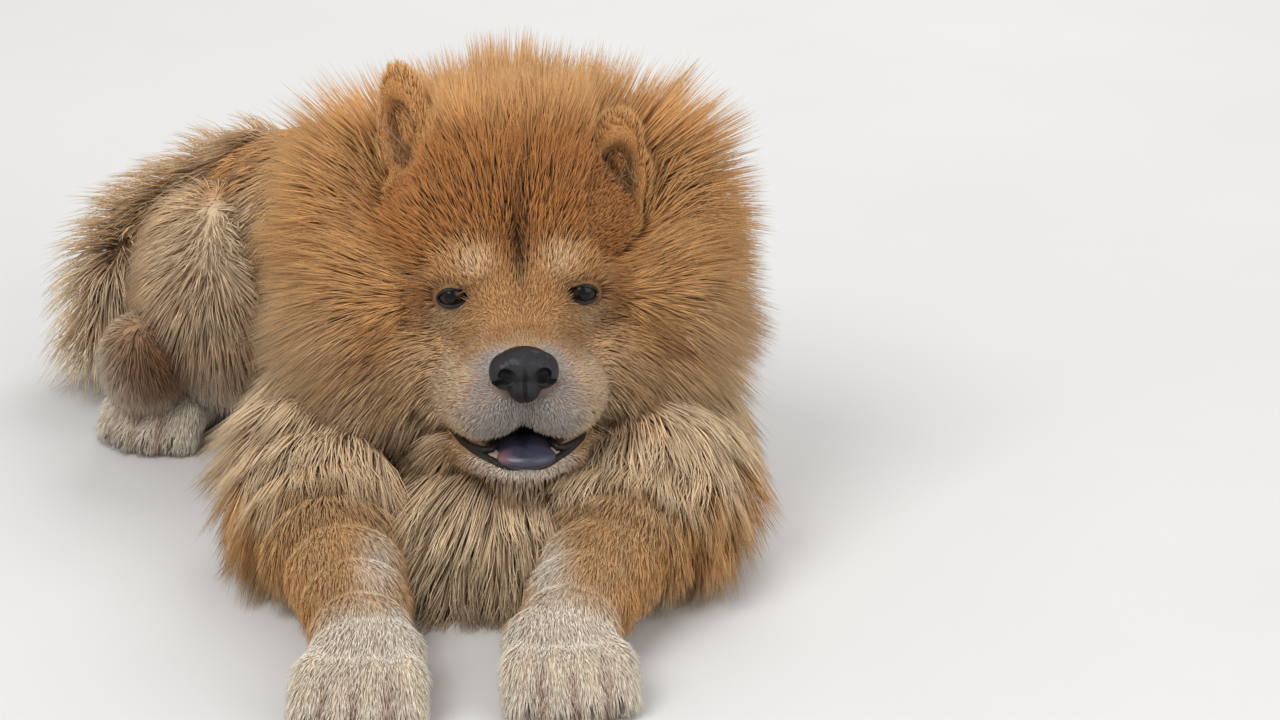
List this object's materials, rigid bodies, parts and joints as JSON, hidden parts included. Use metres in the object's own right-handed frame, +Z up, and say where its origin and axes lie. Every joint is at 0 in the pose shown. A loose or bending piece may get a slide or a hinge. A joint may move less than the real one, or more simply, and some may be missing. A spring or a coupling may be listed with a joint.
{
  "type": "chow chow model",
  "caption": "Life-size still model of a chow chow lying on its chest, forelegs stretched forward, with a full ruff round the face, upright rounded ears, a dark tongue and a plumed tail.",
  "frame": {"origin": "middle of the flat on the underside of the trunk, on which the dog lies, in the plane of the floor", "axes": "the dog faces -Y, its own right side is towards -X, +Z is up, and the plane z = 0 is the floor"},
  "size_m": [0.5017, 0.6899, 0.3129],
  "materials": {
    "red_coat": "dense red-gold outer coat",
    "cream_coat": "dense cream coat",
    "paw_coat": "short white to cream fur",
    "nose_leather": "satin, finely pebbled",
    "tongue_blue": "moist satin",
    "eye_brown": "polished"
  },
  "bodies": {
    "root": {"head": "red_coat", "neck": "red_coat", "torso": "red_coat", "tail": "red_coat", "foreleg_r": "red_coat", "foreleg_l": "red_coat", "ear_r": "red_coat", "ear_l": "red_coat", "thigh_r": "cream_coat", "thigh_l": "cream_coat", "shank_r": "cream_coat", "shank_l": "cream_coat", "jaw": "cream_coat", "forepaw_r": "paw_coat", "forepaw_l": "paw_coat", "hindpaw_r": "paw_coat", "hindpaw_l": "paw_coat", "nose": "nose_leather", "tongue": "tongue_blue", "eye_r": "eye_brown", "eye_l": "eye_brown"}
  },
  "joints": []
}
